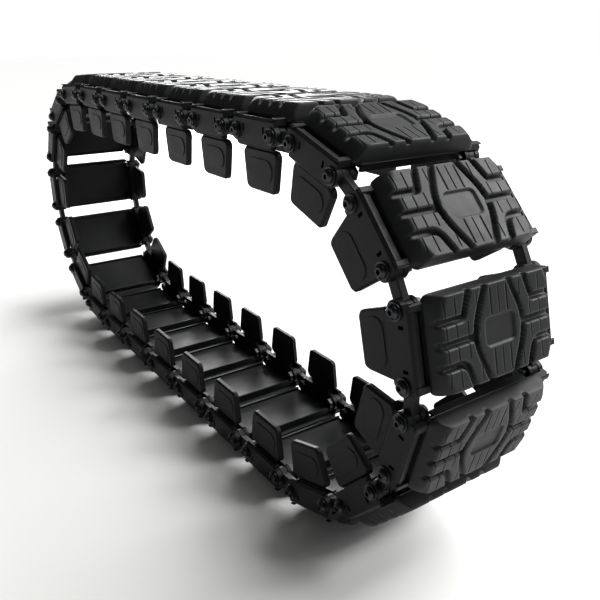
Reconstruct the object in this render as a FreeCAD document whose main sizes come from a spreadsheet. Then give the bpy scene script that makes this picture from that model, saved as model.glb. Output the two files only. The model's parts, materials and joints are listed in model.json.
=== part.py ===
import FreeCAD, Part
import math
import os
import re

# Over-the-tyre track: a closed loop of steel shoes with rubber tread pads, joined on both
# sides by short pinned links. World frame: +X forward, +Y across the track, +Z up.
# A shoe is drawn in its own frame: X along the loop, Y across, Z away from the tyre, with the
# origin half way between its two pin lines. The pieces of the +Y side serve for the -Y side
# too, turned half a turn about Z.

doc = FreeCAD.newDocument("over_tyre_track")
sheet = doc.addObject("Spreadsheet::Sheet", "sizes")

SIZES = {
    # the loop
    "shoe_count": 25,
    "plate_pin_span": 115,
    "link_pin_span": 61,
    "pin_circle_radius": 350,
    "first_pin_setback": 13,
    "ground_shoes": 6,
    # pins: domed shoulder bolts with washers and nuts
    "pin_diameter": 16,
    "running_clearance": 0.08,
    "fixed_clearance": 0.1,
    "head_diameter": 23,
    "head_rim": 3,
    "head_dome": 4,
    "head_crown": 14,
    "socket_width": 8,
    "socket_depth": 4,
    "washer_diameter": 30,
    "washer_thickness": 3.5,
    "nut_width": 24,
    "nut_height": 11,
    "pin_overhang": 2,
    # links
    "link_thickness": 15,
    "link_side_clearance": 0.5,
    "link_end_diameter": 34,
    "link_waist": 22,
    "link_bevel": 1.5,
    "master_gap": 1,
    # cross plate under the pad, hollowed to the tyre, with a bar along each long edge
    "base_width": 248,
    "base_end_reach": 9.5,
    "base_top": 24,
    "base_crown": 8,
    "nut_clearance": 0.15,
    "bolt_end_clearance": 1,
    "rib_thickness": 5,
    "rib_bottom": 5,
    "rib_end_gap": 3,
    # side plates
    "inner_plate_thickness": 8,
    "inner_plate_drop": 20,
    "outer_plate_thickness": 10,
    "outer_plate_drop": 26,
    "outer_plate_rise": 28,
    "plate_end_diameter": 36,
    "plate_bevel": 5,
    "slot_length": 12,
    "slot_width": 6,
    "slot_inset": 24,
    "slot_rise": 8,
    # tabs that tie the outer plate to the inner one over each link
    "tab_thickness": 11,
    "tab_reach": 4.5,
    "tab_proud": 3,
    "eye_clearance": 1,
    "tab_bevel": 1.5,
    # bar between the tabs that keeps stones out of the gap
    "guard_width": 8,
    "guard_height": 6,
    "guard_clearance": 3,
    # guide lugs
    "lug_thickness": 12,
    "lug_neck_gap": 5.5,
    "lug_neck_top": 10,
    "lug_shoulder": 28,
    "lug_top_width": 120,
    "lug_tip_width": 96,
    "lug_tip_depth": 106,
    "lug_corner": 13,
    "lug_bevel": 4,
    "boss_length": 84,
    "boss_width": 40,
    "boss_rise": 1.5,
    "boss_depth": 66,
    # rubber pad
    "pad_overhang": 10,
    "pad_top": 55,
    "pad_wall": 6,
    "pad_end_slope": 12,
    "pad_edge_slope": 4,
}
for row, (alias, number) in enumerate(SIZES.items(), start=1):
    sheet.set(f"A{row}", alias)
    sheet.set(f"B{row}", str(number))
    sheet.setAlias(f"B{row}", alias)
NAMES = re.compile(r"\b(" + "|".join(SIZES) + r")\b")
doc.recompute()


def size(alias):
    """The number that the sheet holds under a name."""
    return float(sheet.get(alias))


def bind(thing, sizes):
    """Tie properties of an object to formulas of the sheet's names."""
    for prop, formula in sizes.items():
        thing.setExpression(prop, NAMES.sub(r"sizes.\g<0>", formula))
    return thing


def place(thing, x="0", y="0", z="0"):
    """Tie an object's position to formulas of the sheet's names."""
    return bind(thing, {"Placement.Base.x": x, "Placement.Base.y": y, "Placement.Base.z": z})


def box(label, length, width, height, x="0", y="0", z="0"):
    """A box centred on x, with its low Y and low Z faces at y and z."""
    made = doc.addObject("Part::Box", label)
    bind(made, {"Length": length, "Width": width, "Height": height})
    return place(made, f"{x} - ({length}) / 2", y, z)


def rod(label, diameter, width, x="0", y="0", z="0"):
    """A cylinder along +Y that starts at y."""
    made = doc.addObject("Part::Cylinder", label)
    bind(made, {"Radius": f"({diameter}) / 2", "Height": width})
    made.Placement.Rotation = FreeCAD.Rotation(FreeCAD.Vector(1, 0, 0), -90)
    return place(made, x, y, z)


def fuse(label, pieces):
    """One solid from several that meet."""
    made = doc.addObject("Part::MultiFuse", label)
    made.Shapes = pieces
    made.Refine = True
    return made


def cut(label, base, tools):
    """A solid less one or more others."""
    tool = tools[0]
    if len(tools) > 1:
        tool = doc.addObject("Part::Compound", label + "_tools")
        tool.Links = tools
    made = doc.addObject("Part::Cut", label)
    made.Base = base
    made.Tool = tool
    return made


def group(label, pieces):
    """Separate solids kept side by side under one name."""
    made = doc.addObject("Part::Compound", label)
    made.Links = pieces
    return made


def soften(label, base, alias, wanted, kind="Part::Chamfer"):
    """Bevel or round the edges that a test picks, by a size of the sheet."""
    doc.recompute()
    chosen = [n for n, edge in enumerate(base.Shape.Edges, start=1) if wanted(edge)]
    made = doc.addObject(kind, label)
    made.Base = base
    made.Edges = [(n, size(alias), size(alias)) for n in chosen]
    return made


def edge_along(edge, axis):
    """Is an edge straight, and along one axis of the shoe?"""
    if edge.Curve.TypeId != "Part::GeomLine":
        return False
    return abs(edge.tangentAt(edge.FirstParameter)[axis]) > 0.999


# places across the shoe, from the middle out to the bolt heads
INNER_FACE = "base_width / 2"
GAP_FACE = f"{INNER_FACE} + inner_plate_thickness"
LINK_FACE = f"{GAP_FACE} + link_side_clearance"
OUTER_FACE = f"{GAP_FACE} + link_thickness + 2 * link_side_clearance"
SIDE_FACE = f"{OUTER_FACE} + outer_plate_thickness"
HEAD_FACE = f"{SIDE_FACE} + washer_thickness"
PIN_X = "plate_pin_span / 2"
TAB_BOTTOM = "link_end_diameter / 2 + eye_clearance"
TAB_TOP = "outer_plate_rise + tab_proud"
BASE_LENGTH = "plate_pin_span + 2 * base_end_reach"
TAB_X = "plate_pin_span / 2 + tab_reach"
PAD_LENGTH = f"{BASE_LENGTH} + 2 * pad_overhang"
PAD_WIDTH = "base_width + 2 * inner_plate_thickness"
NUT_REACH = "nut_height + pin_overhang"
FIXED_BORE = "pin_diameter + 2 * fixed_clearance"
RUNNING_BORE = "pin_diameter + 2 * running_clearance"


def cross_plate():
    """Plate under the pad, hollowed underneath to the tyre and relieved over the nuts, and the
    bar welded along each of its long edges."""
    slab = box("base_slab", f"{BASE_LENGTH} - 2 * rib_thickness", "base_width",
               "base_top - rib_bottom", y="-base_width / 2", z="rib_bottom")
    tyre = rod("base_tyre", "2 * (pin_circle_radius + base_top - base_crown)", "2 * base_width",
               y="-base_width", z="-pin_circle_radius")
    depth = f"{NUT_REACH} + bolt_end_clearance"
    reliefs = [
        box(f"base_relief_{side}", f"2 * ({BASE_LENGTH})", "base_width",
            "nut_width / sqrt(3) + nut_clearance", y=face)
        for side, face in (("left", f"base_width / 2 - ({depth})"),
                           ("right", f"{depth} - 3 * base_width / 2"))
    ]
    reach = f"base_width - 2 * ({NUT_REACH} + rib_end_gap)"
    bars = [
        box(f"edge_bar_{end}", "rib_thickness", reach, "base_top - rib_bottom",
            x=f"{sign} * ({BASE_LENGTH} - rib_thickness) / 2", y=f"-({reach}) / 2", z="rib_bottom")
        for end, sign in (("front", "1"), ("rear", "-1"))
    ]
    return [cut("base_plate", slab, [tyre] + reliefs)] + bars


def side_plate(label, face, thickness, drop, rise, top_length):
    """A plate with a round boss about each pin and a longer top, drilled for both pins."""
    web = box(f"{label}_web", "plate_pin_span", thickness, drop, y=face, z=f"-({drop})")
    top = box(f"{label}_top", top_length, thickness, rise, y=face)
    ends = [
        rod(f"{label}_end_{end}", "plate_end_diameter", thickness, x=f"{sign} * {PIN_X}", y=face)
        for end, sign in (("front", "1"), ("rear", "-1"))
    ]
    body = fuse(f"{label}_body", [web, top] + ends)
    bores = [
        rod(f"{label}_bore_{end}", FIXED_BORE, f"3 * {thickness}",
            x=f"{sign} * {PIN_X}", y=f"{face} - {thickness}")
        for end, sign in (("front", "1"), ("rear", "-1"))
    ]
    return body, bores


def inner_plate():
    """Plate on the end of the cross plate, up to the foot of the pad."""
    body, bores = side_plate("inner_plate", INNER_FACE, "inner_plate_thickness",
                             "inner_plate_drop", "base_top", "plate_pin_span")
    return cut("inner_plate", body, bores)


def outer_plate():
    """Outer plate, up to the tabs, with bevelled long edges and a small slot beside each pin."""
    body, bores = side_plate("outer_plate", OUTER_FACE, "outer_plate_thickness",
                             "outer_plate_drop", "outer_plate_rise",
                             f"2 * ({TAB_X}) + tab_thickness")
    slots = [
        box(f"outer_slot_{end}", "slot_width", "3 * outer_plate_thickness", "slot_length",
            x=f"{sign} * ({PIN_X} - slot_inset)", y=f"{OUTER_FACE} - outer_plate_thickness",
            z="slot_rise - slot_length / 2")
        for end, sign in (("front", "1"), ("rear", "-1"))
    ]
    drilled = cut("outer_plate_drilled", body, bores + slots)
    face = size("base_width") / 2 + size("inner_plate_thickness") + size("link_thickness")
    face += 2 * size("link_side_clearance") + size("outer_plate_thickness")

    def long_outer_edge(edge):
        middle = edge.CenterOfMass
        return edge_along(edge, 0) and abs(middle.y - face) < 0.01 and edge.Length > 40

    return soften("outer_plate", drilled, "plate_bevel", long_outer_edge)


def guide_lug():
    """Lug that hangs beside the tyre: a neck between the plates, and a tapered blade."""
    neck = box("lug_neck", "plate_pin_span - link_end_diameter - 2 * lug_neck_gap",
               "link_thickness + 2 * link_side_clearance",
               "lug_neck_top + lug_shoulder", y=GAP_FACE, z="-lug_shoulder")
    blade = doc.addObject("Part::Wedge", "lug_blade")
    bind(blade, {
        "Xmin": "-lug_tip_width / 2", "Xmax": "lug_tip_width / 2",
        "X2min": "-lug_top_width / 2", "X2max": "lug_top_width / 2",
        "Ymin": "0", "Ymax": "lug_tip_depth - lug_shoulder",
        "Zmin": "-lug_thickness", "Zmax": "0", "Z2min": "-lug_thickness", "Z2max": "0",
    })
    blade.Placement.Rotation = FreeCAD.Rotation(FreeCAD.Vector(1, 0, 0), 90)
    blade_face = f"{LINK_FACE} + (link_thickness - lug_thickness) / 2"
    place(blade, y=blade_face, z="-lug_tip_depth")
    tip = size("lug_tip_depth")
    shoulder = size("lug_shoulder")

    def corner(edge):
        return edge_along(edge, 1)

    rounded = soften("lug_rounded", blade, "lug_corner", corner, "Part::Fillet")
    middle_y = size("base_width") / 2 + size("inner_plate_thickness")
    middle_y += size("link_side_clearance") + size("link_thickness") / 2

    def outer_tip_edge(edge):
        place_of = edge.CenterOfMass
        low = place_of.z < -(tip + shoulder) / 2
        return low and edge_along(edge, 0) and place_of.y > middle_y

    bevelled = soften("lug_bevelled", rounded, "lug_bevel", outer_tip_edge)
    boss_face = f"{blade_face} + lug_thickness / 2"
    boss_depth = "lug_thickness / 2 + boss_rise"
    boss = [box("lug_boss_middle", "boss_length - boss_width", boss_depth, "boss_width",
                y=boss_face, z="-boss_depth - boss_width / 2")]
    for end, sign in (("front", "1"), ("rear", "-1")):
        boss.append(rod(f"lug_boss_{end}", "boss_width", boss_depth,
                        x=f"{sign} * (boss_length - boss_width) / 2", y=boss_face,
                        z="-boss_depth"))
    return fuse("guide_lug", [neck, bevelled] + boss)


def tab(end, sign):
    """Tab over one link, from the foot of the pad over the top of the outer plate."""
    x = f"{sign} * ({TAB_X})"
    over_link = box(f"tab_{end}_over_link", "tab_thickness", f"{OUTER_FACE} - ({GAP_FACE})",
                    f"{TAB_TOP} - ({TAB_BOTTOM})", x=x, y=GAP_FACE, z=TAB_BOTTOM)
    over_plate = box(f"tab_{end}_over_plate", "tab_thickness", "outer_plate_thickness",
                     "tab_proud", x=x, y=OUTER_FACE, z="outer_plate_rise")
    block = fuse(f"tab_{end}_block", [over_link, over_plate])
    top = size("outer_plate_rise") + size("tab_proud")

    def top_edge(edge):
        return abs(edge.CenterOfMass.z - top) < 0.01

    return soften(f"tab_{end}", block, "tab_bevel", top_edge)


def guard_bar():
    """Bar on the inner face of the outer plate, between the tabs and above the link eyes."""
    return box("guard_bar", f"2 * ({TAB_X}) - tab_thickness", "guard_width", "guard_height",
               y=f"{OUTER_FACE} - guard_width", z="link_end_diameter / 2 + guard_clearance")


def pin(label, x, shank_start, shank_length):
    """Shoulder bolt: a domed head with a six-sided socket, and its shank inwards."""
    shank = rod(f"{label}_shank", "pin_diameter", shank_length, x=x, y=shank_start)
    rim = rod(f"{label}_rim", "head_diameter", "head_rim", x=x, y=HEAD_FACE)
    dome = doc.addObject("Part::Cone", f"{label}_dome")
    bind(dome, {"Radius1": "head_diameter / 2", "Radius2": "head_crown / 2", "Height": "head_dome"})
    dome.Placement.Rotation = FreeCAD.Rotation(FreeCAD.Vector(1, 0, 0), -90)
    place(dome, x, f"{HEAD_FACE} + head_rim")
    socket = doc.addObject("Part::Prism", f"{label}_socket")
    socket.Polygon = 6
    bind(socket, {"Circumradius": "socket_width / sqrt(3)", "Height": "2 * socket_depth"})
    socket.Placement.Rotation = FreeCAD.Rotation(FreeCAD.Vector(1, 0, 0), -90)
    place(socket, x, f"{HEAD_FACE} + head_rim + head_dome - socket_depth")
    return cut(label, fuse(f"{label}_body", [shank, rim, dome]), [socket])


def washer(label, x):
    """Washer under a bolt's head."""
    disc = rod(f"{label}_disc", "washer_diameter", "washer_thickness", x=x, y=SIDE_FACE)
    bore = rod(f"{label}_bore", FIXED_BORE, "3 * washer_thickness",
               x=x, y=f"{SIDE_FACE} - washer_thickness")
    return cut(label, disc, [bore])


def nut(label, x):
    """Nut on the inner plate, over the bolt's end."""
    hexagon = doc.addObject("Part::Prism", f"{label}_hexagon")
    hexagon.Polygon = 6
    bind(hexagon, {"Circumradius": "nut_width / sqrt(3)", "Height": "nut_height"})
    turn = FreeCAD.Rotation(FreeCAD.Vector(1, 0, 0), -90)
    hexagon.Placement.Rotation = turn.multiply(FreeCAD.Rotation(FreeCAD.Vector(0, 0, 1), 30))
    place(hexagon, x, f"{INNER_FACE} - nut_height")
    bore = rod(f"{label}_bore", FIXED_BORE, "3 * nut_height", x=x,
               y=f"{INNER_FACE} - 2 * nut_height")
    return cut(label, hexagon, [bore])


def link(label):
    """Dog-bone link about its own middle: an eye round each pin and a waist between them."""
    eyes = [
        rod(f"{label}_eye_{end}", "link_end_diameter", "link_thickness",
            x=f"{sign} * link_pin_span / 2", y=LINK_FACE)
        for end, sign in (("front", "1"), ("rear", "-1"))
    ]
    waist = box(f"{label}_waist", "link_pin_span", "link_thickness", "link_waist",
                y=LINK_FACE, z="-link_waist / 2")
    bores = [
        rod(f"{label}_bore_{end}", RUNNING_BORE, "3 * link_thickness",
            x=f"{sign} * link_pin_span / 2", y=f"{LINK_FACE} - link_thickness")
        for end, sign in (("front", "1"), ("rear", "-1"))
    ]
    drilled = cut(f"{label}_drilled", fuse(f"{label}_body", eyes + [waist]), bores)
    reach = size("link_end_diameter") / 2

    def rim(edge):
        if edge.Curve.TypeId == "Part::GeomCircle":
            return abs(edge.Curve.Radius - reach) < 0.01
        return edge_along(edge, 0)

    return soften(label, drilled, "link_bevel", rim)


def half_link(label, whole, sign):
    """The part of a link that lies more than half the master gap to one side of its middle."""
    keep = box(f"{label}_keep", "2 * link_pin_span", "3 * link_thickness", "2 * link_end_diameter",
               x=f"{sign} * (link_pin_span + master_gap / 2)",
               y=f"{LINK_FACE} - link_thickness", z="-link_end_diameter")
    made = doc.addObject("Part::Common", label)
    made.Base = whole
    made.Tool = keep
    return made


def tread_pad():
    """Rubber pad: a low wall all round, and sloped ends and edges up to the tread."""
    foot = box("pad_foot", PAD_LENGTH, PAD_WIDTH, "pad_wall", y=f"-({PAD_WIDTH}) / 2",
               z="base_top")
    crown = doc.addObject("Part::Wedge", "pad_crown")
    bind(crown, {
        "Xmin": f"-({PAD_LENGTH}) / 2", "Xmax": f"({PAD_LENGTH}) / 2",
        "X2min": f"pad_edge_slope - ({PAD_LENGTH}) / 2",
        "X2max": f"({PAD_LENGTH}) / 2 - pad_edge_slope",
        "Ymin": "0", "Ymax": "pad_top - base_top - pad_wall",
        "Zmin": f"-({PAD_WIDTH}) / 2", "Zmax": f"({PAD_WIDTH}) / 2",
        "Z2min": f"pad_end_slope - ({PAD_WIDTH}) / 2",
        "Z2max": f"({PAD_WIDTH}) / 2 - pad_end_slope",
    })
    crown.Placement.Rotation = FreeCAD.Rotation(FreeCAD.Vector(1, 0, 0), 90)
    place(crown, z="base_top + pad_wall")
    return fuse("tread_pad", [foot, crown])


def both_sides(label, pieces):
    """The pieces of the +Y side and the same pieces turned over to the -Y side."""
    near = group(f"{label}_left", pieces)
    far = group(f"{label}_right", pieces)
    far.Placement.Rotation = FreeCAD.Rotation(FreeCAD.Vector(0, 0, 1), 180)
    return [near, far]


def shoe_frame(label):
    """All steel of one shoe."""
    through = f"{HEAD_FACE} - ({INNER_FACE}) + {NUT_REACH}"
    start = f"{INNER_FACE} - ({NUT_REACH})"
    pieces = list(SIDE_PIECES)
    for end, sign in (("front", "1"), ("rear", "-1")):
        x = f"{sign} * {PIN_X}"
        pieces.append(pin(f"{label}_pin_{end}", x, start, through))
    return group(label, BASE_PIECES + both_sides(label, pieces))


def loop_point(along, wheelbase, radius):
    """A point of the pin path: back along the ground, up round the rear wheel, forward over
    the top and down round the front wheel. It starts under the front wheel's centre."""
    turn = math.pi * radius
    along %= 2 * (wheelbase + turn)
    if along < wheelbase:
        return wheelbase / 2 - along, -radius
    along -= wheelbase
    if along < turn:
        angle = -math.pi / 2 - along / radius
        return -wheelbase / 2 + radius * math.cos(angle), radius * math.sin(angle)
    along -= turn
    if along < wheelbase:
        return -wheelbase / 2 + along, radius
    angle = math.pi / 2 - (along - wheelbase) / radius
    return wheelbase / 2 + radius * math.cos(angle), radius * math.sin(angle)


def halve(low, high, too_far):
    """The number between low and high where a test turns true."""
    for _ in range(50):
        middle = (low + high) / 2
        low, high = (low, middle) if too_far(middle) else (middle, high)
    return (low + high) / 2


def walk(wheelbase):
    """How far along the path each pin lies, one span of plate or link from the one before."""
    radius = size("pin_circle_radius")
    spans = [size("plate_pin_span"), size("link_pin_span")] * int(size("shoe_count"))
    stops = [size("first_pin_setback")]
    for span in spans:
        here = loop_point(stops[-1], wheelbase, radius)
        stops.append(halve(stops[-1] + span, stops[-1] + 1.6 * span, lambda there: math.dist(
            here, loop_point(there, wheelbase, radius)) > span))
    return stops


def overrun(wheelbase):
    """How far the last pin passes the first one."""
    stops = walk(wheelbase)
    return stops[-1] - stops[0] - 2 * (wheelbase + math.pi * size("pin_circle_radius"))


PITCH = size("plate_pin_span") + size("link_pin_span")
WHEELBASE = halve(0, PITCH * size("shoe_count") / 2, lambda base: overrun(base) < 0)
PINS = [loop_point(stop, WHEELBASE, size("pin_circle_radius")) for stop in walk(WHEELBASE)]


def between(first, second):
    """Placement half way between two pins, with X towards the second and Z outwards."""
    (ax, az), (bx, bz) = first, second
    heading = math.degrees(math.atan2(bz - az, bx - ax))
    return FreeCAD.Placement(
        FreeCAD.Vector((ax + bx) / 2, 0, (az + bz) / 2),
        FreeCAD.Rotation(FreeCAD.Vector(0, 1, 0), -heading),
    )


BASE_PIECES = cross_plate()
SIDE_PIECES = [inner_plate(), outer_plate(), guide_lug(), guard_bar()]
for END, SIGN in (("front", "1"), ("rear", "-1")):
    SIDE_PIECES += [
        tab(END, SIGN),
        washer(f"washer_{END}", f"{SIGN} * {PIN_X}"),
        nut(f"nut_{END}", f"{SIGN} * {PIN_X}"),
    ]
FRAME = shoe_frame("shoe")
PAD = tread_pad()
LINK = link("side_link")
LINKS = group("link_pair", both_sides("link_pair", [LINK]))


def copy_at(label, pieces, placement):
    """One sub-part: pieces drawn in their own frame, kept together at a place of the loop."""
    made = group(label, pieces)
    made.Placement = placement
    return made


def mirror_pair(label, piece, other):
    """A piece on the +Y side, and on the -Y side its counterpart turned half a turn."""
    turned = group(f"{label}_right", [other])
    turned.Placement.Rotation = FreeCAD.Rotation(FreeCAD.Vector(0, 0, 1), 180)
    return [piece, turned]


FRONT_HALF = half_link("master_half_front", LINK, "1")
REAR_HALF = half_link("master_half_rear", LINK, "-1")
GROUND = int(size("ground_shoes"))
COUNT = int(size("shoe_count"))
nodes = []
ground = {"frames": [], "pads": [], "links": []}
for index in range(COUNT):
    start, end, far = PINS[2 * index:2 * index + 3]
    shoe_place = between(start, end)
    link_place = between(end, far)
    number = f"{COUNT - index:02d}"
    if index < GROUND:
        ground["frames"].append(copy_at(f"ground_frame_{index + 1}", [FRAME], shoe_place))
        ground["pads"].append(copy_at(f"ground_pad_{index + 1}", [PAD], shoe_place))
        pair = [LINKS]
        if index == GROUND - 1:
            # the closing links are cut across the middle: the ground run keeps this half,
            # and the half on the next shoe stays with that shoe
            pair = mirror_pair("master_rear", REAR_HALF, FRONT_HALF)
        ground["links"].append(copy_at(f"ground_link_{index + 1}", pair, link_place))
        continue
    steel = [FRAME]
    if index == GROUND:
        half = group("master_front", mirror_pair("master_front", FRONT_HALF, REAR_HALF))
        half.Placement = shoe_place.inverse().multiply(between(PINS[2 * index - 1], start))
        steel.append(half)
    nodes.append(copy_at(f"shoe_{number}_frame", steel, shoe_place))
    nodes.append(copy_at(f"shoe_{number}_pad", [PAD], shoe_place))
    nodes.append(copy_at(f"link_{number}", [LINKS], link_place))
for kind, pieces in ground.items():
    nodes.append(group(f"ground_{kind}", pieces))
doc.recompute()

# the origin is under the middle of the whole track, on the surface it stands on
whole = FreeCAD.BoundBox()
for node in nodes:
    whole.add(node.Shape.BoundBox)
SHIFT = FreeCAD.Vector(-whole.Center.x, -whole.Center.y, -whole.ZMin)
for node in nodes:
    node.Placement = FreeCAD.Placement(SHIFT, FreeCAD.Rotation()).multiply(node.Placement)
doc.recompute()

for thing in doc.Objects:
    if "Invalid" in thing.State or "Error" in thing.State:
        raise RuntimeError(f"{thing.Label} did not build")
os.makedirs("parts", exist_ok=True)
for node in nodes:
    solids = node.Shape.Solids
    if node.Shape.isNull() or not node.Shape.isValid() or not solids:
        raise RuntimeError(f"{node.Label} has no valid shape")
    Part.makeCompound(solids).exportStep(f"parts/{node.Label}.step")
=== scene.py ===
"""The looks of an over-the-tyre track: moulded tread pads on painted steel shoes and links.

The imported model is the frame. Its steel stays as it is and gets its finishes here, and each of
its plain rubber blocks is replaced by a moulded pad. A pad is drawn in its shoe's own space:
X along the loop, Y across the track, Z away from the tyre, with the origin half way between the
shoe's two pins. Lengths in that space are in millimetres.
"""

import json
import math

import bpy
import numpy as np
from mathutils import Matrix, Vector

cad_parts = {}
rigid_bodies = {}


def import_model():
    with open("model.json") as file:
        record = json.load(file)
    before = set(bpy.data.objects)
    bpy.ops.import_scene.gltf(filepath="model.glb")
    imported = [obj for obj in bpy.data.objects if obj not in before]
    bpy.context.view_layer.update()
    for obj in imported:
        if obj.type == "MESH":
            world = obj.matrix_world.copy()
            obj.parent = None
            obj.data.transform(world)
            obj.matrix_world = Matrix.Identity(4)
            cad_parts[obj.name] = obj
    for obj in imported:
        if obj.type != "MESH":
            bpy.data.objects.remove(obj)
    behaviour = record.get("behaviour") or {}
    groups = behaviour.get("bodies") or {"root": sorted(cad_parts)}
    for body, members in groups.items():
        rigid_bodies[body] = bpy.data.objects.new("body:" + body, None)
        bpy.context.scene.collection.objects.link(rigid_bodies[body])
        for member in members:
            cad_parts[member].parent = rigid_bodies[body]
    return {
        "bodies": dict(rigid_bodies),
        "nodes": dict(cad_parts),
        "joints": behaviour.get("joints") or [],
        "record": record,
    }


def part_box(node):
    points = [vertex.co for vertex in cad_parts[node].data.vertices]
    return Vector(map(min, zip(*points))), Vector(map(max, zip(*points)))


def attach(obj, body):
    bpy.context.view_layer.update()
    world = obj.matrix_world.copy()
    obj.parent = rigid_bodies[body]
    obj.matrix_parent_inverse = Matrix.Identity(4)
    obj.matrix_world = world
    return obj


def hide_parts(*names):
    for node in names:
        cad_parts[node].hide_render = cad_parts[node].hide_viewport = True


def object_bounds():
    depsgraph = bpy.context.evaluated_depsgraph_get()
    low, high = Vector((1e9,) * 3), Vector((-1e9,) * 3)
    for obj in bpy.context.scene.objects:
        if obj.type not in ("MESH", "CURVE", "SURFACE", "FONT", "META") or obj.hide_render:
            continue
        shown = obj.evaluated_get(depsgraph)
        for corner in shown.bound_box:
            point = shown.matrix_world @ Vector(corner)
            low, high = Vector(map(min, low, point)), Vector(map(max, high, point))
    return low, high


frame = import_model()
CAD_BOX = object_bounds()
MM = 0.001

# ---------------------------------------------------------------- the shoes' places

HINGES = {joint["child"]: np.array(joint["pos_m"])[[0, 2]] for joint in frame["joints"]}
MOVING_SHOES = sorted(body for body in frame["bodies"] if body.startswith("shoe_"))
PLATE_SPAN = np.linalg.norm(HINGES["link_02"] - HINGES["shoe_01"])
PITCH = PLATE_SPAN + np.linalg.norm(HINGES["shoe_01"] - HINGES["link_01"])
GROUND_LOW, GROUND_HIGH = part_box("ground_pads")
GROUND_SHOES = round((GROUND_HIGH.x - GROUND_LOW.x) / PITCH)


def shoe_pins():
    """The two pins, as (x, z), of each shoe. The ground run's pins lie on one straight line back
    from the first hinge, and the last moving shoe's open end is on that line too."""
    pins = {}
    for place in range(GROUND_SHOES + 1):
        start = HINGES["link_01"] - np.array([place * PITCH, 0])
        pins[f"ground_{place + 1}"] = (start, start - np.array([PLATE_SPAN, 0]))
    open_end, _ = pins.pop(f"ground_{GROUND_SHOES + 1}")
    for shoe in MOVING_SHOES:
        next_link = f"link_{int(shoe[-2:]) + 1:02d}"
        pins[shoe] = (HINGES.get(next_link, open_end), HINGES[shoe])
    return pins


PINS = shoe_pins()


def in_track(points, pins):
    """Points of a shoe's space, in millimetres, carried to the track, in metres: X runs from the
    shoe's first pin to its second, and Z is square to that, outwards."""
    start, end = pins
    along = (end - start) / np.linalg.norm(end - start)
    middle = (start + end) / 2
    x, y, z = points.T * MM
    return np.stack([middle[0] + along[0] * x - along[1] * z, y,
                     middle[1] + along[1] * x + along[0] * z], axis=1)


# ---------------------------------------------------------------- the tread pad's shape

PAD_BACK = (HINGES["link_01"][1] - GROUND_HIGH.z) / MM       # the face that the steel backs
PAD_TOP = (HINGES["link_01"][1] - GROUND_LOW.z) / MM         # the tread's own plane
HALF_WIDTH = (GROUND_HIGH.y - GROUND_LOW.y) / 2 / MM
HALF_LENGTH = (GROUND_HIGH.x - GROUND_LOW.x - (GROUND_SHOES - 1) * PITCH) / 2 / MM
WALL = 6                # upright foot of the pad
END_SLOPE = 12          # how far the tread stands in from the pad's ends
EDGE_SLOPE = 4          # and from its long edges
CORNER = 14             # radius of the pad's corners seen from above
ROUNDING = 5            # how softly the edges and the facets run into the tread
END_ROUNDING = 10       # and how softly the ends do
FACET = (56, 26)        # reach along and across of the facet that cuts each tread corner
GROOVE_DEPTH = 10.5
SHALLOWER = 0.35        # share of its depth that a groove loses at the long edge
SHALLOW_REACH = 22      # and the stretch before the edge where it does
GROOVE_FLOOR = 3.1      # half widths of a groove at its floor and at the tread
GROOVE_MOUTH = 7.3
SLOT_LINE = 34          # distance of the outer cross slots from the pad's middle
SHARP_TURN = 5          # how long a stretch of an outer cross slot its bend takes
WIDE_TURN = 15
WINDOW = (34, 23, 10)   # half width, half length and corner of the recess in the middle block
WINDOW_DEPTH = 3.4
WINDOW_EDGE = (-1.9, 0.3)   # where the recess's slope ends and starts, from its outline
SIPE_DEPTH = 2.6
SIPE_FLOOR = 0.45       # half widths of a sipe, which is a moulded knife cut
SIPE_MOUTH = 0.95
# where the sipes lie across the pad, and the stretch of the pad's length that each one cuts
SIPES = [(0, 27, 68), (18, 27, 68), (48, 45, 68), (70, 5, 29),
         (93, 5, 29), (93, 39, 68), (114, 5, 29), (114, 39, 68)]


def ramp(low, high, values):
    """0 below low and 1 above high, with a smooth step between (3t^2 - 2t^3)."""
    t = np.clip((values - low) / (high - low), 0, 1)
    return t * t * (3 - 2 * t)


def soft_least(first, second, reach):
    """The lesser of two surfaces, rounded where they come within reach of each other."""
    share = np.clip(0.5 + 0.5 * (second - first) / reach, 0, 1)
    return second * (1 - share) + first * share - reach * share * (1 - share)


def bent(before, corner, after, steps=7):
    """Points of a smooth turn from before to after: a quadratic curve pulled to the corner."""
    t = np.linspace(0, 1, steps)[:, None]
    before, corner, after = map(np.array, (before, corner, after))
    return (1 - t) ** 2 * before + 2 * t * (1 - t) * corner + t ** 2 * after


def distance_to_line(x, y, points):
    """Distance of each place of a grid from a line of straight runs."""
    nearest = np.full(x.shape, np.inf)
    for (ax, ay), (bx, by) in zip(points[:-1], points[1:]):
        run = np.array([bx - ax, by - ay])
        share = np.clip(((x - ax) * run[0] + (y - ay) * run[1]) / (run @ run), 0, 1)
        nearest = np.minimum(nearest, np.hypot(x - ax - share * run[0], y - ay - share * run[1]))
    return nearest


def groove_lines(turn):
    """Centre lines of the grooves in one quarter of the pad, as (along, across): beside the
    middle block, the middle cross slot, and the cross slot that turns towards the long edge
    over a stretch of the given length."""
    past_edge = HALF_LENGTH + 10
    past_end = HALF_WIDTH + 10
    block_side = [(past_edge, 21), *bent((38, 43.5), (14, 54.5), (-14, 54.5))]
    knee = np.array([SLOT_LINE, 77])
    down = np.array([past_edge, 58]) - knee
    down /= np.hypot(*down)
    turned = [(past_edge, 58), *bent(knee + turn * down, knee, knee + (0, turn)),
              (SLOT_LINE, past_end)]
    return [block_side, [(0, 54), (0, past_end)], turned]


def trough(x, y, turn):
    """How much of a groove each place is in, 0 to 1, from its distance to the centre lines."""
    away = [distance_to_line(x, y, line) for line in groove_lines(turn)]
    return 1 - ramp(GROOVE_FLOOR, GROOVE_MOUTH, np.min(away, axis=0))


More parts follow.
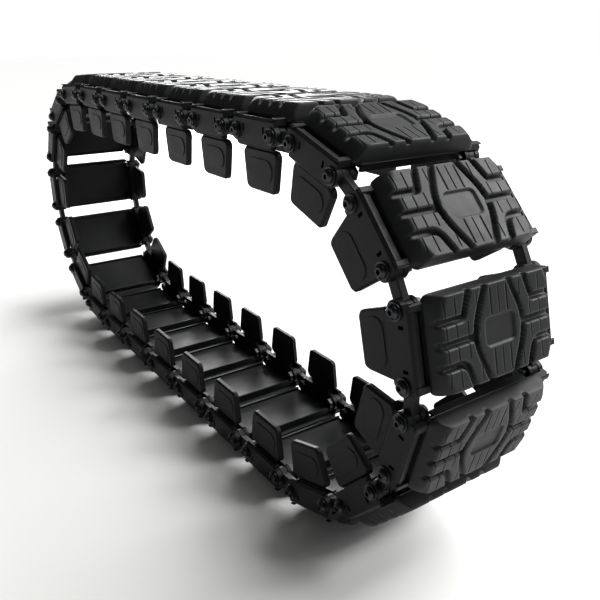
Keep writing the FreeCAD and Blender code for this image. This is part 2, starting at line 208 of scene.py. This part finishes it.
def sipe_cut(x, y):
    """How much of a sipe each place is in, 0 to 1."""
    cut = np.zeros(x.shape)
    for across, first, last in SIPES:
        width = 1 - ramp(SIPE_FLOOR, SIPE_MOUTH, np.abs(y - across))
        cut += width * ramp(first - 1.5, first + 0.5, x) * (1 - ramp(last - 2, last, x))
    return cut


def pad_height(x, y):
    """Height of the pad over a grid. The tread plane loses the grooves, the recess and the
    sipes, and meets the four slopes and the four corner facets in rounded edges. The cross
    slots turn more sharply in the half of the pad towards its shoe's first pin."""
    leading = x < 0
    x, y = np.abs(x), np.abs(y)
    grooves = np.where(leading, trough(x, y, SHARP_TURN), trough(x, y, WIDE_TURN))
    shallower = 1 - SHALLOWER * ramp(HALF_LENGTH - SHALLOW_REACH, HALF_LENGTH, x)
    tread = PAD_TOP - GROOVE_DEPTH * grooves * shallower
    half_width, half_length, corner = WINDOW
    outside = np.hypot(np.maximum(x - half_length + corner, 0),
                       np.maximum(y - half_width + corner, 0)) - corner
    tread -= WINDOW_DEPTH * (1 - ramp(*WINDOW_EDGE, outside)) + SIPE_DEPTH * sipe_cut(x, y)
    foot = PAD_BACK + WALL
    rise = PAD_TOP - foot
    end = foot + (HALF_WIDTH - y) * rise / END_SLOPE
    edge = foot + (HALF_LENGTH - x) * rise / EDGE_SLOPE
    facet = foot + ((HALF_LENGTH - x) / FACET[0] + (HALF_WIDTH - y) / FACET[1]) * rise
    cut_corner = soft_least(soft_least(tread, facet, ROUNDING), edge, ROUNDING)
    return soft_least(cut_corner, end, END_ROUNDING)


def grid_lines(half, step, border, fine):
    """Places of a grid's lines: even, closer near the border, and at the given fine places."""
    even = np.arange(0, half - border, step)
    close = np.linspace(half - border, half, round(border / 0.9) + 1)
    lines = np.unique(np.round(np.concatenate([even, close, fine]), 3))
    kept = lines[np.insert(np.diff(lines) > 0.25, 0, True)]
    return np.concatenate([-kept[:0:-1], kept])


def pad_surface():
    """Vertices and faces of a closed pad. The top is the height over a grid whose corners are
    pressed round (a square corner onto a quarter disc), and the wall falls from its border."""
    across = [abs(line + side * width) for line, *_ in SIPES for side in (-1, 1)
              for width in (0, SIPE_FLOOR, SIPE_MOUTH)]
    x_lines = grid_lines(HALF_LENGTH, 1.7, 7, [])
    y_lines = grid_lines(HALF_WIDTH, 2.1, 9, across)
    x, y = np.meshgrid(x_lines, y_lines, indexing="ij")
    height = pad_height(x, y)
    a = np.maximum(np.abs(x) - HALF_LENGTH + CORNER, 0) / CORNER
    b = np.maximum(np.abs(y) - HALF_WIDTH + CORNER, 0) / CORNER
    near = a * b > 0
    x = np.where(near, np.sign(x) * (HALF_LENGTH - CORNER * (1 - a * np.sqrt(1 - b * b / 2))), x)
    y = np.where(near, np.sign(y) * (HALF_WIDTH - CORNER * (1 - b * np.sqrt(1 - a * a / 2))), y)
    rows, columns = x.shape
    number = np.arange(rows * columns).reshape(rows, columns)
    top = np.stack([x, y, height], axis=-1).reshape(-1, 3)
    quads = np.stack([number[:-1, :-1], number[1:, :-1], number[1:, 1:], number[:-1, 1:]], axis=-1)
    rim = np.concatenate([number[:-1, 0], number[-1, :-1], number[:0:-1, -1], number[0, :0:-1]])
    rings = []
    for inset, level in ((0, PAD_BACK + 1.2), (0.35, PAD_BACK + 0.35), (1.2, PAD_BACK)):
        shrink = 1 - np.array([inset / HALF_LENGTH, inset / HALF_WIDTH])
        ring = top[rim].copy()
        ring[:, :2] *= shrink
        ring[:, 2] = level
        rings.append(ring)
    vertices = np.concatenate([top] + rings)
    faces = quads.reshape(-1, 4).tolist()
    above = rim
    for step in range(len(rings)):
        below = len(top) + step * len(rim) + np.arange(len(rim))
        faces += np.stack([above, below, np.roll(below, -1), np.roll(above, -1)], axis=1).tolist()
        above = below
    faces.append(above[::-1].tolist())
    return vertices, faces


HIGHLIGHT_REACH = 3          # how far round each place its height is compared
HIGHLIGHT_RISE = 2.5         # how proud a place has to be to get the whole painted highlight


def painted_rim_highlight(vertices):
    """How proud of its surroundings each place of the pad is, 0 to 1: high on the rims of the
    blocks and low in the grooves, from the height less its mean over a few millimetres. This is
    where the rims are painted paler as a highlight."""
    x, y, z = vertices.T
    around = sum(pad_height(x + HIGHLIGHT_REACH * math.cos(turn), y + HIGHLIGHT_REACH * math.sin(turn))
                 for turn in np.arange(0, 2 * math.pi, math.pi / 4)) / 8
    return np.clip((z - around) / HIGHLIGHT_RISE, 0, 1) * ramp(PAD_TOP - 5, PAD_TOP - 1, z)


def painted_sipe_shade(vertices):
    """1 in the sipes and 0 elsewhere: where the sipes are painted near-black as shade."""
    x, y, z = np.abs(vertices).T
    return sipe_cut(x, y) * (z > PAD_TOP - SIPE_DEPTH - 1)


def make_piece(name, vertices, faces, attributes, material):
    """One piece of the object from its vertices, in metres, with values kept on its vertices."""
    mesh = bpy.data.meshes.new(name)
    mesh.from_pydata(vertices.tolist(), [], faces)
    mesh.update()
    mesh.shade_smooth()
    for label, values in attributes.items():
        mesh.attributes.new(label, "FLOAT", "POINT").data.foreach_set(
            "value", values.astype(np.float32))
    mesh.materials.append(material)
    piece = bpy.data.objects.new(name, mesh)
    bpy.context.scene.collection.objects.link(piece)
    return piece


# ---------------------------------------------------------------- materials

def linear(colour):
    """A colour given as sRGB hex, as linear red, green, blue and alpha."""
    parts = [int(colour[k:k + 2], 16) / 255 for k in (1, 3, 5)]
    return [p / 12.92 if p <= 0.04045 else ((p + 0.055) / 1.055) ** 2.4 for p in parts] + [1]


def add(tree, kind, settings=None, **sockets):
    """A node with its settings, and its sockets set to a value or linked to an output."""
    made = tree.nodes.new("ShaderNode" + kind)
    for name, value in (settings or {}).items():
        setattr(made, name, value)
    for name, value in sockets.items():
        socket = made.inputs[int(name[1:])] if name[1:].isdigit() else made.inputs[
            name.replace("_", " ")]
        if isinstance(value, bpy.types.NodeSocket):
            tree.links.new(value, socket)
        else:
            socket.default_value = value
    return made


def new_material(name):
    """An empty material, and its tree with only the output."""
    material = bpy.data.materials.new(name)
    material.use_nodes = True
    tree = material.node_tree
    tree.nodes.clear()
    return material, tree


def per_size(millimetres):
    """Scale of a pattern on Object coordinates whose grains are this far apart."""
    return 1 / (millimetres * MM)


def moulded_rubber():
    """Black carbon-filled rubber from a steel mould: matt, with a fine spark-eroded grain, a
    little cloudier in patches where the release agent stayed, a painted highlight in patches on
    the proud rims of the blocks, and painted shade in the sipes."""
    material, tree = new_material("moulded_black_rubber")
    place = add(tree, "TexCoord").outputs["Object"]
    # the real grain is about 0.3 mm and is drawn at 1.4 mm, so that it shows
    grain = add(tree, "TexNoise", Vector=place, Scale=per_size(1.4), Detail=3, Roughness=0.6)
    cloud = add(tree, "TexNoise", Vector=place, Scale=per_size(34), Detail=4, Roughness=0.55)
    # the proud rims of the blocks are painted paler in patches, as a highlight
    highlit_rims = add(tree, "Attribute", {"attribute_name": "rim_highlight"})
    highlight_patches = add(tree, "TexNoise", Vector=place, Scale=per_size(5), Detail=4)
    patchy_rim_highlight = add(tree, "Math", {"operation": "MULTIPLY"},
                  _0=highlit_rims.outputs["Fac"], _1=highlight_patches.outputs["Fac"])
    tone = add(tree, "MixRGB", Fac=cloud.outputs["Fac"], Color1=linear("#131415"),
               Color2=linear("#1d1e1f"))
    # the paler rim colour is a painted highlight
    rims = add(tree, "MixRGB", Fac=patchy_rim_highlight.outputs[0], Color1=tone.outputs[0],
               Color2=linear("#4a4b4c"))
    # the sipes are painted near-black, as the shade inside the narrow cuts
    cut = add(tree, "Attribute", {"attribute_name": "cut"})
    colour = add(tree, "MixRGB", Fac=cut.outputs["Fac"], Color1=rims.outputs[0],
                 Color2=linear("#050505"))
    gloss = add(tree, "MapRange", _0=cloud.outputs["Fac"], _1=0.3, _2=0.7, _3=0.40, _4=0.52)
    bump = add(tree, "Bump", Strength=0.35, Distance=0.12 * MM, Height=grain.outputs["Fac"])
    surface = add(tree, "BsdfPrincipled", Base_Color=colour.outputs[0],
                  Roughness=gloss.outputs[0], Normal=bump.outputs[0], IOR=1.52,
                  Specular_IOR_Level=0.14)
    add(tree, "OutputMaterial", Surface=surface.outputs[0])
    return material


def coated_steel(name, dark, light, rim, roughness, peel):
    """Steel under black baked paint: a slight orange peel, softened edges that catch the light, a
    paler colour in patches along the edges, and a faint dusting of tone from the casting or
    rolling below."""
    material, tree = new_material(name)
    place = add(tree, "TexCoord").outputs["Object"]
    skin = add(tree, "TexNoise", Vector=place, Scale=per_size(peel), Detail=2)
    cloud = add(tree, "TexNoise", Vector=place, Scale=per_size(45), Detail=5, Roughness=0.6)
    soft = add(tree, "Bevel", {"samples": 6}, Radius=1.1 * MM)
    straight = add(tree, "NewGeometry")
    bent_by = add(tree, "VectorMath", {"operation": "DOT_PRODUCT"},
                  _0=soft.outputs[0], _1=straight.outputs["Normal"])
    at_edge = add(tree, "MapRange", _0=bent_by.outputs["Value"], _1=0.995, _2=0.86, _3=0, _4=1)
    # the colour turns paler in patches along the edges, where the softened normal turns away
    pale_edge_patches = add(tree, "Math", {"operation": "MULTIPLY"}, _0=at_edge.outputs[0],
               _1=cloud.outputs["Fac"])
    tone = add(tree, "MixRGB", Fac=cloud.outputs["Fac"], Color1=linear(dark),
               Color2=linear(light))
    colour = add(tree, "MixRGB", Fac=pale_edge_patches.outputs[0], Color1=tone.outputs[0], Color2=linear(rim))
    gloss = add(tree, "MapRange", _0=cloud.outputs["Fac"], _1=0.3, _2=0.7,
                _3=roughness - 0.06, _4=roughness + 0.06)
    bump = add(tree, "Bump", Strength=0.25, Distance=0.15 * MM, Height=skin.outputs["Fac"],
               Normal=soft.outputs[0])
    surface = add(tree, "BsdfPrincipled", Base_Color=colour.outputs[0],
                  Roughness=gloss.outputs[0], Normal=bump.outputs[0], Specular_IOR_Level=0.1)
    add(tree, "OutputMaterial", Surface=surface.outputs[0])
    return material


def blackened_bolt_steel():
    """Turned and blackened high-tensile steel: a dark oiled oxide with a satin metal gleam."""
    material, tree = new_material("blackened_bolt_steel")
    place = add(tree, "TexCoord").outputs["Object"]
    cloud = add(tree, "TexNoise", Vector=place, Scale=per_size(6), Detail=4)
    soft = add(tree, "Bevel", {"samples": 6}, Radius=0.8 * MM)
    tone = add(tree, "MixRGB", Fac=cloud.outputs["Fac"], Color1=linear("#242528"),
               Color2=linear("#3e3f42"))
    gloss = add(tree, "MapRange", _0=cloud.outputs["Fac"], _1=0.3, _2=0.7, _3=0.24, _4=0.4)
    surface = add(tree, "BsdfPrincipled", Base_Color=tone.outputs[0], Metallic=1,
                  Roughness=gloss.outputs[0], Normal=soft.outputs[0])
    add(tree, "OutputMaterial", Surface=surface.outputs[0])
    return material


RUBBER = moulded_rubber()
SHOE_PAINT = coated_steel("baked_black_paint_on_shoe_steel", "#101112", "#191a1b", "#3c3d3f",
                          0.42, 3.2)
LINK_PAINT = coated_steel("baked_black_paint_on_forged_links", "#131415", "#1d1e1f", "#444548",
                          0.36, 2.2)
BOLT_STEEL = blackened_bolt_steel()

# ---------------------------------------------------------------- pads on their shoes

PAD_VERTICES, PAD_FACES = pad_surface()
# the first mark is where the block rims are painted paler as a highlight, the second where the
# sipes are painted near-black as shade
MARKS = {"rim_highlight": painted_rim_highlight(PAD_VERTICES), "cut": painted_sipe_shade(PAD_VERTICES)}
for shoe, pins in PINS.items():
    on_ground = shoe.startswith("ground_")
    pad = make_piece(f"moulded_pad_{shoe}", in_track(PAD_VERTICES, pins), PAD_FACES,
                     MARKS, RUBBER)
    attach(pad, "ground_run" if on_ground else shoe)
    if not on_ground:
        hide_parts(f"{shoe}_pad")
    elif shoe == "ground_1":
        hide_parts("ground_pads")

# ---------------------------------------------------------------- finishes of the steel

HEAD_STACK = 10.5 * MM      # washer and bolt head, outside the outer plate
NUT_FACES = (0.1105, 0.1241)    # where a nut and its bolt's end lie across the track
NUT_RADIUS = 13.95 * MM


def finish_frame(thing, pins):
    """Paint on the plates and dark metal on the bolts. A bolt's faces are those outside the
    outer plate, and those by the inner plate within a nut's radius of a pin."""
    mesh = thing.data
    mesh.materials.clear()
    mesh.materials.append(SHOE_PAINT)
    mesh.materials.append(BOLT_STEEL)
    centres = np.empty(len(mesh.polygons) * 3)
    mesh.polygons.foreach_get("center", centres)
    x, y, z = centres.reshape(-1, 3).T
    outside = np.abs(y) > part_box(thing.name)[1].y - HEAD_STACK + 0.1 * MM
    from_pin = np.min([np.hypot(x - px, z - pz) for px, pz in pins], axis=0)
    beside = (np.abs(y) > NUT_FACES[0]) & (np.abs(y) < NUT_FACES[1]) & (from_pin < NUT_RADIUS)
    mesh.polygons.foreach_set("material_index", (outside | beside).astype(np.int32))


for name, thing in frame["nodes"].items():
    if name.endswith("_frame"):
        finish_frame(thing, PINS[name.removesuffix("_frame")])
    elif name == "ground_frames":
        finish_frame(thing, [pin for shoe, pins in PINS.items() if "ground" in shoe
                             for pin in pins])
    elif "link" in name:
        thing.data.materials.clear()
        thing.data.materials.append(LINK_PAINT)

# ---------------------------------------------------------------- floor, light and camera

SEATS = {mount["name"]: Vector(mount["pos_m"]) for mount in frame["record"]["mounts"]}
MIDDLE = (SEATS["front_tyre_seat"] + SEATS["rear_tyre_seat"]) / 2


def lay_floor():
    """A wide pale sheet under the track, as plain painted board."""
    material, tree = new_material("pale_studio_board")
    surface = add(tree, "BsdfPrincipled", Base_Color=linear("#dededc"), Roughness=0.9)
    add(tree, "OutputMaterial", Surface=surface.outputs[0])
    mesh = bpy.data.meshes.new("floor")
    reach = 30
    mesh.from_pydata([(-reach, -reach, 0), (reach, -reach, 0), (reach, reach, 0),
                      (-reach, reach, 0)], [], [(0, 1, 2, 3)])
    mesh.materials.append(material)
    floor = bpy.data.objects.new("floor", mesh)
    bpy.context.scene.collection.objects.link(floor)


def shine(name, kind, place, target, **settings):
    """A lamp at a place, turned to face a target and out of the camera's sight."""
    lamp = bpy.data.lights.new(name, kind)
    for setting, value in settings.items():
        setattr(lamp, setting, value)
    thing = bpy.data.objects.new(name, lamp)
    thing.location = place
    thing.rotation_euler = (target - Vector(place)).to_track_quat("-Z", "Y").to_euler()
    thing.visible_camera = False
    bpy.context.scene.collection.objects.link(thing)


def light_room():
    """Even pale surroundings, a broad soft sky from above and to the left, and three soft boxes:
    one high behind the front pads, one behind the rear turn and a faint one in front."""
    world = bpy.data.worlds.new("pale_room")
    bpy.context.scene.world = world
    world.use_nodes = True
    tree = world.node_tree
    tree.nodes.clear()
    seen = add(tree, "LightPath").outputs["Is Camera Ray"]
    room = add(tree, "Background", Color=linear("#ffffff"), Strength=0.1)
    backdrop = add(tree, "Background", Color=linear("#ffffff"), Strength=1.0)
    mixed = add(tree, "MixShader", _0=seen, _1=room.outputs[0], _2=backdrop.outputs[0])
    add(tree, "OutputWorld", Surface=mixed.outputs[0])
    shine("sky", "SUN", (0.2, 2.3, 3.6), MIDDLE, energy=5, angle=math.radians(60))
    shine("behind", "AREA", (2.4, 3.8, 3.0), MIDDLE, energy=190, size=2.4)
    shine("back_glow", "AREA", (-4.8, 2.6, 1.7), MIDDLE, energy=260, size=2.6)
    shine("fill", "AREA", (3.6, -2.4, 1.6), MIDDLE, energy=4, size=1.6)


def set_camera():
    """The camera stands ahead of the track and to its right, and looks back and down at it."""
    azimuth, elevation = math.radians(55.2), math.radians(21.57)
    back = Vector((math.sin(azimuth) * math.cos(elevation),
                   -math.cos(azimuth) * math.cos(elevation), math.sin(elevation)))
    right = Vector((math.cos(azimuth), math.sin(azimuth), 0))
    turned = Matrix((right, back.cross(right), back)).transposed().to_4x4()
    lens = bpy.data.cameras.new("camera")
    lens.lens = 40.27
    lens.sensor_width = 36
    camera = bpy.data.objects.new("camera", lens)
    near_side = MIDDLE + Vector((0, CAD_BOX[0].y, 0))
    from_near_side = Vector((1.531, -0.614, 0.512))
    camera.matrix_world = Matrix.Translation(near_side + from_near_side) @ turned
    bpy.context.scene.collection.objects.link(camera)
    bpy.context.scene.camera = camera


lay_floor()
light_room()
set_camera()
bpy.context.scene.view_settings.view_transform = "Standard"
